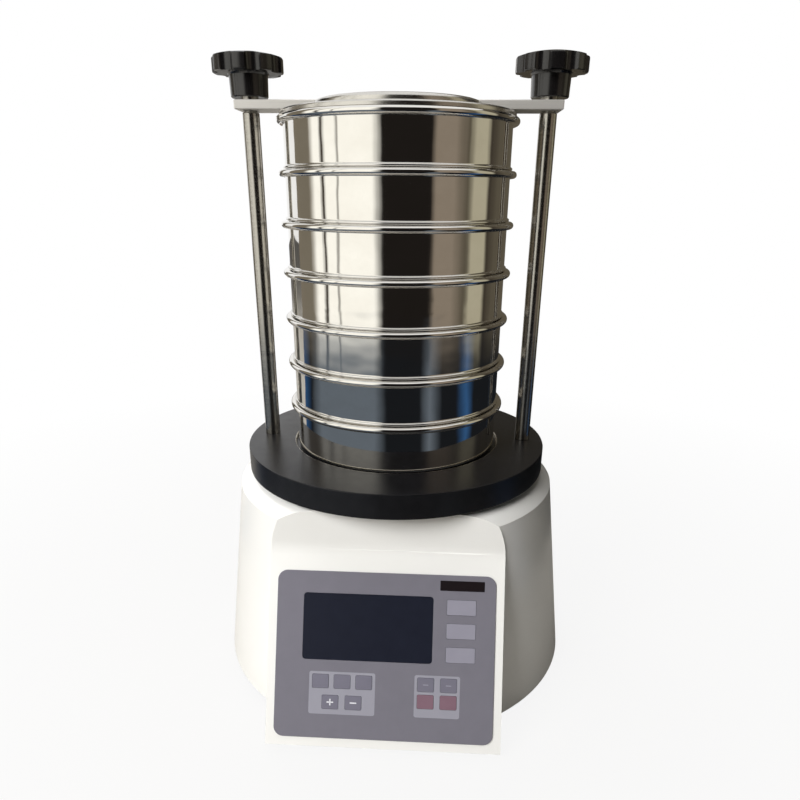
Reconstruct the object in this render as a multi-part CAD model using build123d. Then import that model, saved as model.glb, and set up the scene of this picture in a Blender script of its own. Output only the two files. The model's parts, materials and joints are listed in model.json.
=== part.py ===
from build123d import *
from math import cos, radians, sin, sqrt, tan
import os

os.makedirs("parts", exist_ok=True)

# An electromagnetic sieve shaker with its stack of 200 mm test sieves.
# Millimetres, +Z up, front towards -Y. The origin lies on the stack axis,
# in the underside of the middle foot, level with the other feet.

# feet and housing
foot_height = 8.0
foot_radius = 15.0
foot_side = 105.0
foot_back = 105.0
foot_front = 172.0
housing_wall = 4.0
housing_bottom_radius = 186.0
shoulder_edge_radius = 162.0
shoulder_edge_height = 193.0
shoulder_rise = 11.0
shoulder_crown_radius = 138.0
housing_mouth_radius = 120.0

# sloped console at the front of the housing
console_half_width = 107.5
console_toe = 201.0
console_tilt = 24.0
console_brow = 127.4
console_brow_blend = 30.0
console_neck_half_width = 100.0
console_neck_drop = 32.0

# base plate and its screws
base_plate_thickness = 4.0
base_plate_clearance = 0.5
screw_boss_radius = 6.0
screw_boss_height = 26.0
screw_radius = 2.5
screw_head_radius = 4.5
screw_head_height = 2.5
screw_length = 16.0

# control panel on the console
panel_width = 200.0
panel_length = 152.0
panel_thickness = 1.0
panel_corner = 9.0
panel_middle_height = 76.8
panel_window_margin = 12.0
board_overlap = 4.0
board_thickness = 1.6
display_width = 119.0
display_length = 61.0
display_corner = 3.0
display_across = -16.0
display_up = 25.5

# keys on the panel
key_corner = 1.0
key_proud = 0.3
key_gap = 0.2
key_travel = 0.4
key_stem_radius = 2.0
wide_key_width = 26.3
wide_key_length = 13.7
small_key_width = 15.0
small_key_length = 12.5
wide_keys_across = 69.0
wide_keys_up = 46.8
wide_keys_pitch = 21.5
setting_keys_across = -38.0
setting_keys_up = -24.4
setting_keys_pitch = 19.9
step_keys_up = -43.2
step_keys_pitch = 21.2
run_keys_across = 48.7
run_keys_up = -24.0
run_keys_pitch = 20.8
run_keys_row = 15.4

# mains inlet and switch in a flat pocket at the back
pocket_width = 92.0
pocket_height = 46.0
pocket_low = 34.0
pocket_depth = 20.0
inlet_across = 20.0
inlet_flange_width = 50.0
inlet_flange_height = 30.0
inlet_flange_thickness = 3.0
inlet_body_width = 28.0
inlet_body_height = 22.0
inlet_depth = 24.0
inlet_wall = 2.0
inlet_blade_width = 4.0
inlet_blade_thickness = 2.0
inlet_blade_length = 15.0
switch_across = -24.0
switch_width = 21.0
switch_height = 30.0
switch_rim = 2.5
switch_bezel = 2.0
switch_depth = 18.0
rocker_tilt = 8.0
rocker_gap = 0.4
rocker_reach = 3.0
rocker_pin_radius = 1.5
rocker_pin_clearance = 0.05
rocker_pin_bite = 0.9

# vibration drive inside the housing
magnet_base_radius = 112.0
magnet_base_height = 40.0
core_width = 76.0
core_depth = 58.0
core_height = 64.0
core_leg = 14.0
core_yoke = 16.0
core_centre_leg = 24.0
coil_gap = 0.5
air_gap = 3.0
armature_height = 20.0
stem_radius = 20.0
stem_flange_radius = 44.0
stem_flange_height = 7.0
spring_circle = 88.0
spring_count = 4
spring_mean_radius = 13.0
spring_wire_radius = 2.2
spring_turns = 5.0
spring_length = 62.0
spring_seat_radius = 19.0
spring_seat_height = 5.0
spring_seat_gap = 0.2
spring_post_radius = 9.0
power_board_width = 96.0
power_board_depth = 46.0
power_board_back = -138.0
power_board_stand = 8.0
transformer_width = 52.0
transformer_depth = 36.0
transformer_height = 42.0

# vibrating plate
plate_gap = 4.0
plate_radius = 151.5
plate_thickness = 24.0
plate_chamfer = 1.0
recess_radius = 104.0
recess_depth = 3.0
recess_chamfer = 0.8

# clamping rods, bar and knobs
rod_spacing = 262.0
rod_radius = 7.5
rod_end_chamfer = 1.0
stud_radius = 6.0
stud_clearance = 0.4
thread_clearance = 0.1
shank_clearance = 0.1
rod_below_bar = 1.0
stud_above_bar = 24.0
nut_across_flats = 19.0
nut_height = 10.0
nut_pocket_radius = 14.0
nut_pocket_depth = 12.0
nut_washer_radius = 12.0
nut_washer_thickness = 2.0
bar_width = 34.0
bar_thickness = 7.5
bar_overhang = 10.5
bar_edge = 0.8
bush_radius = 7.5
bush_stand = 2.5
bush_length = 22.0
hub_radius = 16.9
hub_foot_radius = 16.3
hub_height = 18.5
knob_radius = 30.7
knob_head_height = 13.5
knob_crown = 3.6
knob_edge = 3.0
knob_lobes = 8
flute_radius = 8.0
flute_depth = 4.6
lobe_round = 2.2
knob_bore_headroom = 4.0

# sieves, pan and lid
sieve_count = 6
sieve_inside_radius = 100.0
sieve_sheet = 1.0
stack_pitch = 42.0
bead_radius = 3.0
bead_reach = 5.85
pan_rim_height = 40.5
pan_corner = 5.0
seat_gap = 0.3
nest_clearance = 0.3
skirt_length = 8.0
skirt_lead = 0.6
shoulder_bead_reach = 1.6
shoulder_bead_height = 2.8
mesh_thickness = 0.5
mesh_clearance = 0.1
lid_rim_radius = 103.5
lid_rim_height = 3.6
lid_sheet = 1.0
lid_ledge_radius = 77.0
lid_crown_radius = 74.0
lid_crown_height = 7.0
lid_crown_round = 4.0
lid_bar_gap = 0.5

# heights that follow from the sizes above
housing_bottom = foot_height
shoulder_edge = housing_bottom + shoulder_edge_height
housing_top = shoulder_edge + shoulder_rise
plate_bottom = housing_top + plate_gap
plate_top = plate_bottom + plate_thickness
floor_top = housing_bottom + base_plate_thickness
pocket_floor = housing_bottom_radius - pocket_depth
pan_bottom = plate_top - recess_depth
pan_rim = plate_top + pan_rim_height
top_rim = pan_rim + sieve_count * stack_pitch
sieve_outside_radius = sieve_inside_radius + sieve_sheet
skirt_outside_radius = sieve_inside_radius - nest_clearance
lid_seat = top_rim + bead_radius + seat_gap
lid_ledge = lid_seat + lid_rim_height + 1.8
bar_bottom = lid_ledge
bar_top = bar_bottom + bar_thickness
rod_top = bar_bottom - rod_below_bar
stud_top = bar_top + stud_above_bar
bar_length = rod_spacing + 2 * bar_overhang
rocker_pin_half = (switch_width - 3 * switch_rim) / 2 + rocker_pin_bite
hub_bottom = bar_top + bush_stand
head_bottom = hub_bottom + hub_height
head_top = head_bottom + knob_head_height
rod_sides = (("left", -rod_spacing / 2), ("right", rod_spacing / 2))


def save(name, shape):
    shape.label = name
    export_step(shape, f"parts/{name}.step")


def ring(outer, inner, low, high):
    return Pos(0, 0, low) * extrude(Circle(outer) - Circle(inner), high - low)


def disc(radius, low, high):
    return Pos(0, 0, low) * extrude(Circle(radius), high - low)


def block(x_size, y_size, low, high, x=0.0, y=0.0):
    return Pos(x, y, low) * extrude(Rectangle(x_size, y_size), high - low)


def turned(section):
    return revolve(Plane.XZ * section, Axis.Z)


def console_rise(height):
    # distance that the sloped face has come back at a height above its toe
    return height * tan(radians(console_tilt))


def console_plane(height):
    # the sloped outer face, with its origin on the centre line at a height
    y = -console_toe + console_rise(height - housing_bottom)
    tilt = radians(console_tilt)
    return Plane(origin=(0, y, height), x_dir=(1, 0, 0), z_dir=(0, -cos(tilt), sin(tilt)))


panel_plane = console_plane(housing_bottom + panel_middle_height)


def round_body(inset):
    # flared drum with its domed shoulder, drawn as radius against height
    flare = (housing_bottom_radius - shoulder_edge_radius) / shoulder_edge_height
    edge = (shoulder_edge_radius - inset, shoulder_edge - inset * flare)
    crown = (shoulder_crown_radius - inset, housing_top - inset)
    lean = 0.62
    middle = (
        crown[0] + lean * (edge[0] - crown[0]),
        edge[1] + lean * (crown[1] - edge[1]) + 0.8,
    )
    with BuildSketch() as section:
        with BuildLine():
            Polyline((0, crown[1]), (0, housing_bottom), (housing_bottom_radius - inset, housing_bottom))
            Line((housing_bottom_radius - inset, housing_bottom), edge)
            ThreePointArc(edge, middle, crown)
            Line(crown, (0, crown[1]))
        make_face()
    return turned(section.sketch)


def console_profile(inset):
    # side view of everything behind the front face, y against z
    setback = inset / cos(radians(console_tilt))
    toe = -console_toe + setback
    brow = -console_brow + inset
    bend = housing_bottom + (brow - toe) / tan(radians(console_tilt))
    high = housing_top + plate_gap
    with BuildSketch(Plane.YZ) as section:
        with BuildLine():
            Polyline((toe, housing_bottom), (brow, bend), (brow, high))
            Polyline((brow, high), (housing_bottom_radius * 1.2, high))
            Polyline((housing_bottom_radius * 1.2, high), (housing_bottom_radius * 1.2, housing_bottom))
            Polyline((housing_bottom_radius * 1.2, housing_bottom), (toe, housing_bottom))
        make_face()
        bend_corner = section.vertices().sort_by(Axis.Y)[2]
        fillet(bend_corner, console_brow_blend)
    return section.sketch


def console_outline(inset):
    # front view of the console, whose sides draw in to meet the shoulder
    half = console_half_width - inset
    neck = console_neck_half_width - inset
    high = shoulder_edge - inset
    low = high - console_neck_drop
    bulge = half - 0.25 * (half - neck)
    with BuildSketch(Plane.XZ) as section:
        with BuildLine():
            Polyline((-half, low), (-half, housing_bottom), (half, housing_bottom), (half, low))
            ThreePointArc((half, low), (bulge, high - console_neck_drop / 2), (neck, high))
            Line((neck, high), (-neck, high))
            ThreePointArc((-neck, high), (-bulge, high - console_neck_drop / 2), (-half, low))
        make_face()
    return section.sketch


def housing_form(inset):
    # the drum joined to the console wedge, cut back to the front face
    drum = round_body(inset)
    behind = extrude(console_profile(inset), amount=housing_bottom_radius * 1.2, both=True)
    wedge = behind & extrude(console_outline(inset), amount=console_toe * 1.2)
    return (drum & behind) + wedge


def pocket_box(grow):
    # room for the mains inlet and its switch at the back
    deep = housing_bottom_radius
    box = Box(
        pocket_width + 2 * grow,
        deep,
        pocket_height + 2 * grow,
        align=(Align.CENTER, Align.MIN, Align.MIN),
    )
    return Pos(0, pocket_floor - grow, pocket_low - grow) * box


def screw_places():
    # two screws at the back of the drum and two at the front of the console
    drum_place = housing_bottom_radius - housing_wall - screw_boss_radius + 1.0
    back = drum_place * sqrt(0.5)
    side = console_half_width - housing_wall - screw_boss_radius + 1.0
    front = console_toe - housing_wall - screw_boss_radius - console_rise(screw_boss_height)
    return [(-back, back), (back, back), (-side, -front), (side, -front)]


def housing():
    shell = housing_form(0) - (housing_form(housing_wall) - pocket_box(housing_wall))
    shell -= pocket_box(0)
    for x, y in screw_places():
        boss = Pos(x, y) * disc(screw_boss_radius, floor_top, floor_top + screw_boss_height)
        shell += boss & housing_form(housing_wall / 2)
        shell -= Pos(x, y) * disc(screw_radius, housing_bottom, floor_top + screw_length)
    shell -= disc(housing_mouth_radius, housing_top - 2 * housing_wall, housing_top + plate_gap)
    window = Rectangle(panel_width - 2 * panel_window_margin, panel_length - 2 * panel_window_margin)
    shell -= panel_plane * extrude(window, amount=2 * housing_wall, both=True)
    shell -= Pos(inlet_across, pocket_floor, pocket_low + pocket_height / 2) * Box(
        inlet_body_width + 2 * key_gap, 4 * housing_wall, inlet_body_height + 2 * key_gap
    )
    shell -= Pos(switch_across, pocket_floor, pocket_low + pocket_height / 2) * Box(
        switch_width - 2 * switch_rim + key_gap,
        4 * housing_wall,
        switch_height - 2 * switch_rim + key_gap,
    )
    return shell


def base_plate():
    inset = housing_wall + base_plate_clearance
    plate = housing_form(inset) & disc(2 * housing_bottom_radius, housing_bottom, floor_top)
    for x, y in screw_places():
        plate -= Pos(x, y) * disc(screw_radius + shank_clearance, housing_bottom, floor_top)
        plate -= Pos(x, y) * disc(
            screw_head_radius + key_gap, housing_bottom, housing_bottom + screw_head_height
        )
    return plate


def base_screws():
    screws = []
    for x, y in screw_places():
        head = disc(screw_head_radius, housing_bottom, housing_bottom + screw_head_height)
        slot = block(1.2, 2 * screw_head_radius, housing_bottom, housing_bottom + 1.2)
        shank = disc(screw_radius, housing_bottom + screw_head_height, floor_top + screw_length - 1)
        screws.append(Pos(x, y) * (head + shank - slot))
    return Compound(children=screws)


def rubber_feet():
    feet = []
    # one near each corner and one under the magnet's mass
    places = [(-1, foot_back), (1, foot_back), (-0.8, -foot_front), (0.8, -foot_front), (0, 0)]
    for side, y in places:
        with BuildSketch() as section:
            with BuildLine():
                Polyline((0, 0), (foot_radius - 2, 0), (foot_radius, 2), (foot_radius, foot_height))
                Polyline((foot_radius, foot_height), (0, foot_height), (0, 0))
            make_face()
        feet.append(Pos(side * foot_side, y) * turned(section.sketch))
    return Compound(children=feet)


def key_places():
    # name, place across and up the panel, and width and length of every key
    wide = (wide_key_width, wide_key_length)
    small = (small_key_width, small_key_length)
    places = []
    for row, name in enumerate(("key_light", "key_mode", "key_auto")):
        places.append((name, wide_keys_across, wide_keys_up - row * wide_keys_pitch, wide))
    for column, name in enumerate(("key_timer", "key_amplitude", "key_frequency")):
        across = setting_keys_across + (column - 1) * setting_keys_pitch
        places.append((name, across, setting_keys_up, small))
    for side, name in ((-0.5, "key_plus"), (0.5, "key_minus")):
        places.append((name, setting_keys_across + side * step_keys_pitch, step_keys_up, small))
    for row, names in enumerate((("key_pause", "key_resume"), ("key_stop", "key_start"))):
        for side, name in zip((-0.5, 0.5), names):
            across = run_keys_across + side * run_keys_pitch
            places.append((name, across, run_keys_up - row * run_keys_row, small))
    return places


def key(across, up, size):
    pad = extrude(RectangleRounded(*size, key_corner), amount=panel_thickness + key_proud)
    stem_room = key_travel + 0.1
    stem = Pos(0, 0, stem_room - housing_wall) * extrude(
        Circle(key_stem_radius), amount=housing_wall - stem_room + panel_thickness / 2
    )
    return panel_plane * Pos(across, up) * (pad + stem)


def control_panel():
    sheet = RectangleRounded(panel_width, panel_length, panel_corner)
    window = RectangleRounded(display_width, display_length, display_corner)
    sheet -= Pos(display_across, display_up) * window
    for _, across, up, size in key_places():
        room = RectangleRounded(size[0] + 2 * key_gap, size[1] + 2 * key_gap, key_corner + key_gap)
        sheet -= Pos(across, up) * room
    return panel_plane * extrude(sheet, amount=panel_thickness)


def display_window():
    pane = RectangleRounded(display_width, display_length, display_corner)
    glass = extrude(pane, amount=panel_thickness)
    module = Pos(0, 0, -housing_wall) * extrude(
        Rectangle(display_width - 4, display_length - 4), amount=housing_wall
    )
    return panel_plane * Pos(display_across, display_up) * (glass + module)


def control_board():
    width = panel_width - 2 * panel_window_margin + 2 * board_overlap
    length = panel_length - 2 * panel_window_margin + 2 * board_overlap
    board = extrude(Rectangle(width, length), amount=-board_thickness)
    relay = Pos(-width / 4, -length / 4, -board_thickness - 6) * Box(24, 18, 12)
    connector = Pos(width / 4, -length / 3, -board_thickness - 5) * Box(30, 8, 10)
    return panel_plane * Pos(0, 0, -housing_wall) * (board + relay + connector)


def pocket_plane(across):
    # the pocket's flat floor, seen from behind the machine
    return Plane(
        origin=(across, pocket_floor, pocket_low + pocket_height / 2), x_dir=(-1, 0, 0), z_dir=(0, 1, 0)
    )


def power_inlet():
    flange = extrude(
        RectangleRounded(inlet_flange_width, inlet_flange_height, 3), amount=inlet_flange_thickness
    )
    body = Pos(0, 0, -inlet_depth) * extrude(
        Rectangle(inlet_body_width, inlet_body_height), amount=inlet_depth
    )
    cavity = Pos(0, 0, inlet_wall - inlet_depth) * extrude(
        RectangleRounded(inlet_body_width - 2 * inlet_wall, inlet_body_height - 2 * inlet_wall, 4),
        amount=inlet_depth + inlet_flange_thickness,
    )
    inlet = flange + body - cavity
    for x, y in ((-7.0, -2.0), (0.0, 2.0), (7.0, -2.0)):
        blade = Rectangle(inlet_blade_thickness, inlet_blade_width)
        inlet += Pos(x, y, -inlet_depth) * extrude(blade, amount=inlet_wall + inlet_blade_length)
    for side in (-1, 1):
        inlet -= Pos(side * (inlet_flange_width / 2 - 5), 0, 0) * Cylinder(1.7, 20)
    return pocket_plane(inlet_across) * inlet


def switch_frame():
    bezel = extrude(RectangleRounded(switch_width, switch_height, 2), amount=switch_bezel)
    case = Pos(0, 0, -switch_depth) * extrude(
        Rectangle(switch_width - 2 * switch_rim, switch_height - 2 * switch_rim), amount=switch_depth
    )
    well = Pos(0, 0, 2 - switch_depth) * extrude(
        Rectangle(switch_width - 3 * switch_rim, switch_height - 3 * switch_rim),
        amount=switch_depth + switch_bezel,
    )
    pin_hole = Rot(0, 90, 0) * Cylinder(rocker_pin_radius + rocker_pin_clearance, 2 * rocker_pin_half)
    return pocket_plane(switch_across) * (bezel + case - well - pin_hole)


def rocker_section(half):
    # the rocker seen from its side, with both faces of its shallow vee
    low = -switch_depth / 2
    drop = half * tan(radians(2 * rocker_tilt))
    with BuildSketch() as section:
        with BuildLine():
            Polyline((-half, rocker_reach), (0, rocker_reach - drop / 2), (half, rocker_reach))
            Polyline((half, rocker_reach), (half, rocker_reach - 5), (3, low), (-3, low))
            Polyline((-3, low), (-half, rocker_reach - 5), (-half, rocker_reach))
        make_face()
    return section.sketch


def rocker_button():
    half = switch_height / 2 - 1.5 * switch_rim - 4 * rocker_gap
    width = switch_width - 3 * switch_rim - 2 * rocker_gap
    rocker = extrude(Plane.YZ * rocker_section(half), amount=width / 2, both=True)
    rocker += Rot(0, 90, 0) * Cylinder(rocker_pin_radius, 2 * rocker_pin_half - rocker_pin_clearance)
    return pocket_plane(switch_across) * Rot(rocker_tilt, 0, 0) * rocker


def magnet_base():
    mass = disc(magnet_base_radius, floor_top, floor_top + magnet_base_height)
    rim = mass.edges().filter_by(GeomType.CIRCLE).sort_by(Axis.Z)[-1]
    return chamfer(rim, 3)


core_bottom = floor_top + magnet_base_height
core_top = core_bottom + core_height
armature_bottom = core_top + air_gap
armature_top = armature_bottom + armature_height


def magnet_core():
    core = block(core_width, core_depth, core_bottom, core_top)
    slot = (core_width - core_centre_leg) / 2 - core_leg
    middle = core_centre_leg / 2 + slot / 2
    for side in (-1, 1):
        core -= block(slot, core_depth, core_bottom + core_yoke, core_top, side * middle)
    return core


def magnet_coil():
    slot = (core_width - core_centre_leg) / 2 - core_leg
    outer = RectangleRounded(
        core_centre_leg + 2 * slot - 2 * coil_gap, core_depth + 2 * slot - 2 * coil_gap, 6
    )
    inner = Rectangle(core_centre_leg + 2 * coil_gap, core_depth + 2 * coil_gap)
    low = core_bottom + core_yoke
    return Pos(0, 0, low) * extrude(outer - inner, amount=core_top - low - 4)


def armature():
    return block(core_width, core_depth, armature_bottom, armature_top)


def drive_stem():
    stem = disc(stem_radius, armature_top, plate_bottom)
    flange = disc(stem_flange_radius, plate_bottom - stem_flange_height, plate_bottom)
    joined = stem + flange
    corner = joined.edges().filter_by(GeomType.CIRCLE).filter_by_position(
        Axis.Z, plate_bottom - stem_flange_height - 0.1, plate_bottom - stem_flange_height + 0.1
    )
    return fillet(corner.sort_by(SortBy.RADIUS)[0], 5)


def spring_places():
    return PolarLocations(spring_circle, spring_count, start_angle=45)


def support_posts():
    seat_top = plate_bottom - spring_length
    post = disc(spring_post_radius, core_bottom, seat_top)
    post += disc(spring_seat_radius, seat_top - spring_seat_height, seat_top)
    peg = spring_mean_radius - spring_wire_radius - 1.0
    post += disc(peg, seat_top, seat_top + spring_seat_height)
    return Compound(children=[place * post for place in spring_places()])


def support_springs():
    seat_top = plate_bottom - spring_length
    height = spring_length - 2 * spring_wire_radius - 2 * spring_seat_gap
    helix = Helix(height / spring_turns, height, spring_mean_radius)
    wire = Plane(origin=helix @ 0, z_dir=helix % 0) * RegularPolygon(spring_wire_radius, 8)
    spring = Pos(0, 0, seat_top + spring_wire_radius + spring_seat_gap) * sweep(wire, path=helix)
    return Compound(children=[place * spring for place in spring_places()])


def power_board():
    low = floor_top + power_board_stand
    board = block(power_board_width, power_board_depth, low, low + board_thickness, 0, power_board_back)
    board += block(
        transformer_width,
        transformer_depth,
        low,
        low + board_thickness + transformer_height,
        -power_board_width / 6,
        power_board_back,
    )
    for side in (-1, 1):
        for end in (-1, 1):
            x = side * (power_board_width / 2 - 5)
            y = power_board_back + end * (power_board_depth / 2 - 5)
            board += Pos(x, y) * disc(3, floor_top, low)
    return board


def vibrating_plate():
    with BuildSketch() as section:
        with BuildLine():
            Polyline(
                (0, plate_bottom),
                (plate_radius - plate_chamfer, plate_bottom),
                (plate_radius, plate_bottom + plate_chamfer),
                (plate_radius, plate_top - plate_chamfer),
                (plate_radius - plate_chamfer, plate_top),
                (recess_radius + recess_chamfer, plate_top),
                (recess_radius, plate_top - recess_chamfer),
                (recess_radius, plate_top - recess_depth),
                (0, plate_top - recess_depth),
                close=True,
            )
        make_face()
    plate = turned(section.sketch)
    for _, x in rod_sides:
        plate -= Pos(x, 0) * disc(stud_radius + shank_clearance, plate_bottom, plate_top)
        plate -= Pos(x, 0) * disc(nut_pocket_radius, plate_bottom, plate_bottom + nut_pocket_depth)
    return plate


def rod():
    low = plate_bottom + 1.0
    bar = disc(rod_radius, plate_top, rod_top)
    top_edge = bar.edges().filter_by(GeomType.CIRCLE).sort_by(Axis.Z)[-1]
    bar = chamfer(top_edge, rod_end_chamfer)
    return bar + disc(stud_radius, low, plate_top) + disc(stud_radius, rod_top, stud_top)


def rod_nuts():
    pocket_top = plate_bottom + nut_pocket_depth
    nuts = []
    for _, x in rod_sides:
        washer = ring(
            nut_washer_radius, stud_radius + shank_clearance, pocket_top - nut_washer_thickness, pocket_top
        )
        hexagon = RegularPolygon(nut_across_flats / 2, 6, major_radius=False)
        nut = Pos(0, 0, plate_bottom) * extrude(
            hexagon - Circle(stud_radius + shank_clearance), amount=nut_height
        )
        nuts.append(Pos(x, 0) * (washer + nut))
    return Compound(children=nuts)


def crossbar():
    bar = block(bar_length, bar_width, bar_bottom, bar_top)
    bar = chamfer(bar.edges(), bar_edge)
    for _, x in rod_sides:
        bar -= Pos(x, 0) * disc(stud_radius + stud_clearance, bar_bottom, bar_top)
    return bar


def knob_bush():
    return ring(bush_radius, stud_radius + thread_clearance, bar_top, bar_top + bush_length)


def knob_outline():
    # round head with scallops cut between its lobes
    outline = Circle(knob_radius)
    middle = knob_radius - flute_depth + flute_radius
    for place in PolarLocations(middle, knob_lobes, start_angle=180 / knob_lobes):
        outline -= place * Circle(flute_radius)
    return fillet(outline.vertices(), lobe_round)


def knob():
    with BuildSketch() as section:
        with BuildLine():
            Polyline((0, head_top + knob_crown), (0, hub_bottom), (hub_foot_radius, hub_bottom))
            Polyline((hub_foot_radius, hub_bottom), (hub_radius, head_bottom))
            Line((hub_radius, head_bottom), (knob_radius - knob_edge / 2, head_bottom))
            ThreePointArc(
                (knob_radius - knob_edge / 2, head_bottom),
                (knob_radius - knob_edge * 0.15, head_bottom + knob_edge * 0.15),
                (knob_radius, head_bottom + knob_edge / 2),
            )
            Line((knob_radius, head_bottom + knob_edge / 2), (knob_radius, head_top - knob_edge))
            ThreePointArc(
                (knob_radius, head_top - knob_edge),
                (knob_radius - knob_edge * 0.3, head_top - knob_edge * 0.3),
                (knob_radius - knob_edge, head_top),
            )
            ThreePointArc(
                (knob_radius - knob_edge, head_top),
                (knob_radius / 2, head_top + knob_crown * 0.72),
                (0, head_top + knob_crown),
            )
        make_face()
    body = turned(section.sketch)
    star = Pos(0, 0, head_bottom) * extrude(knob_outline(), amount=head_top + knob_crown - head_bottom)
    hub = disc(hub_radius, hub_bottom, head_bottom)
    body = body & (star + hub)
    body -= disc(bush_radius, hub_bottom, bar_top + bush_length)
    body -= disc(stud_radius + thread_clearance, hub_bottom, stud_top + knob_bore_headroom)
    return body


def rim_bead(height):
    return Pos(sieve_outside_radius + bead_reach - bead_radius, height) * Circle(bead_radius)


def strip(inner, outer, low, high):
    # a rectangle of a turned section
    middle = Pos((inner + outer) / 2, (low + high) / 2)
    return middle * Rectangle(outer - inner, high - low)


def skirt_section(seat, top):
    # the part of a frame or lid that nests inside the rim below
    inner = skirt_outside_radius - sieve_sheet
    low = seat - skirt_length
    with BuildSketch() as section:
        with BuildLine():
            Polyline(
                (inner, top),
                (inner, low),
                (skirt_outside_radius - skirt_lead, low),
                (skirt_outside_radius, low + 2 * skirt_lead),
                (skirt_outside_radius, top),
                close=True,
            )
        make_face()
    return section.sketch


def sieve_seat(rim):
    return rim - stack_pitch + bead_radius + seat_gap


def sieve_frame(rim):
    # spun frame: rolled rim, straight wall, locating shoulder and nesting skirt
    seat = sieve_seat(rim)
    section = strip(sieve_inside_radius, sieve_outside_radius, seat, rim + bead_radius)
    section += rim_bead(rim)
    section += strip(skirt_outside_radius - sieve_sheet, sieve_outside_radius, seat, seat + sieve_sheet)
    bead = strip(
        sieve_outside_radius - sieve_sheet / 2,
        sieve_outside_radius + shoulder_bead_reach,
        seat,
        seat + shoulder_bead_height,
    )
    outer_corners = bead.vertices().sort_by(Axis.X)[-2:]
    section += fillet(outer_corners, shoulder_bead_height * 0.45)
    section += skirt_section(seat, seat)
    return turned(section)


def sieve_mesh(rim):
    low = sieve_seat(rim) + sieve_sheet
    return disc(sieve_inside_radius - mesh_clearance, low, low + mesh_thickness)


def receiver_pan():
    outer = strip(0, sieve_outside_radius, pan_bottom, pan_rim + bead_radius)
    outer = fillet(outer.vertices().sort_by(Axis.X)[-2:].sort_by(Axis.Y)[0], pan_corner)
    inner = strip(0, sieve_inside_radius, pan_bottom + sieve_sheet, pan_rim + 2 * bead_radius)
    inner = fillet(inner.vertices().sort_by(Axis.X)[-2:].sort_by(Axis.Y)[0], pan_corner - sieve_sheet)
    return turned(outer + rim_bead(pan_rim) - inner)


def lid_form(inset):
    # pressed cover: rim, falling ledge and raised crown, filled down to the seat
    crown = bar_bottom + lid_crown_height - inset
    rim = lid_rim_radius - inset
    low = lid_seat - (inset and skirt_length)
    with BuildSketch() as section:
        with BuildLine():
            Polyline((0, crown), (0, low), (rim, low), (rim, lid_seat + lid_rim_height / 2 - inset / 2))
            Line(
                (rim, lid_seat + lid_rim_height / 2 - inset / 2),
                (rim - lid_rim_height / 2, lid_seat + lid_rim_height - inset),
            )
            Polyline(
                (rim - lid_rim_height / 2, lid_seat + lid_rim_height - inset),
                (lid_ledge_radius - inset, lid_ledge - inset),
                (lid_crown_radius - inset, lid_ledge - inset),
                (lid_crown_radius - inset, crown),
                (0, crown),
            )
        make_face()
        corner = section.vertices().filter_by_position(Axis.Y, crown - 0.01, crown + 0.01)
        fillet(corner.sort_by(Axis.X)[-1], lid_crown_round - inset)
    form = turned(section.sketch)
    channel = bar_width + 2 * lid_bar_gap + 2 * inset
    return form - block(3 * lid_rim_radius, channel, lid_ledge - inset, crown + 1)


def lid():
    inside = skirt_outside_radius - lid_sheet
    hollow = lid_form(lid_sheet) & disc(inside, lid_seat - skirt_length, bar_top)
    return lid_form(0) - hollow + turned(skirt_section(lid_seat, lid_seat + lid_sheet))


def main():
    save("housing", housing())
    save("base_plate", base_plate())
    save("base_screws", base_screws())
    save("rubber_feet", rubber_feet())
    save("control_panel", control_panel())
    save("display_window", display_window())
    save("control_board", control_board())
    for name, across, up, size in key_places():
        save(name, key(across, up, size))
    save("power_inlet", power_inlet())
    save("switch_frame", switch_frame())
    save("rocker_button", rocker_button())
    save("power_board", power_board())
    save("magnet_base", magnet_base())
    save("magnet_core", magnet_core())
    save("magnet_coil", magnet_coil())
    save("support_posts", support_posts())
    save("support_springs", support_springs())
    save("armature", armature())
    save("drive_stem", drive_stem())
    save("vibrating_plate", vibrating_plate())
    save("rod_nuts", rod_nuts())
    for side, x in rod_sides:
        save(f"rod_{side}", Pos(x, 0) * rod())
        save(f"knob_bush_{side}", Pos(x, 0) * knob_bush())
        save(f"knob_{side}", Pos(x, 0) * knob())
    save("crossbar", crossbar())
    for number in range(1, sieve_count + 1):
        rim = top_rim - (number - 1) * stack_pitch
        save(f"sieve_frame_{number}", sieve_frame(rim))
        save(f"sieve_mesh_{number}", sieve_mesh(rim))
    save("receiver_pan", receiver_pan())
    save("lid", lid())


main()
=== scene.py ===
import bpy
import json
from math import cos, pi, radians, sin, tan
from mathutils import Matrix, Vector


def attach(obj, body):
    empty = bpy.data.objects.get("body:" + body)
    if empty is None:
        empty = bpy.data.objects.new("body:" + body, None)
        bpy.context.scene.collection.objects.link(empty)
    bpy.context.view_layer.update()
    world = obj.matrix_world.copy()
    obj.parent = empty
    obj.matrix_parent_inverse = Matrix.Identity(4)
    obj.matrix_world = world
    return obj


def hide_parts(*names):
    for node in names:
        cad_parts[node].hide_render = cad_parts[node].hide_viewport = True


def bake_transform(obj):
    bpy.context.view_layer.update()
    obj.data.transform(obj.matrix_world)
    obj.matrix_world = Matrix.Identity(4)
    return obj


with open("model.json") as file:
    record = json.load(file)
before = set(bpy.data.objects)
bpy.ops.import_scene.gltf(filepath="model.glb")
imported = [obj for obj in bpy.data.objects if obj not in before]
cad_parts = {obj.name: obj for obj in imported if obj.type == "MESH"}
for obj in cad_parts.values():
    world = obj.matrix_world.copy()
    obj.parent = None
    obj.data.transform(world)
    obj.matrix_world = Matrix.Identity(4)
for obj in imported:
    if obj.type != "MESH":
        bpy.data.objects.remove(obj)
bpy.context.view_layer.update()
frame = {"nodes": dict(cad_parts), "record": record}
mm = 0.001
seam = 0.002 * mm  # corners nearer than this are joined
looseSeam = 0.01 * mm  # the same for threads and wire
openBelow = 20  # how far a hollow is carried on past its open side, in millimetres
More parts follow.
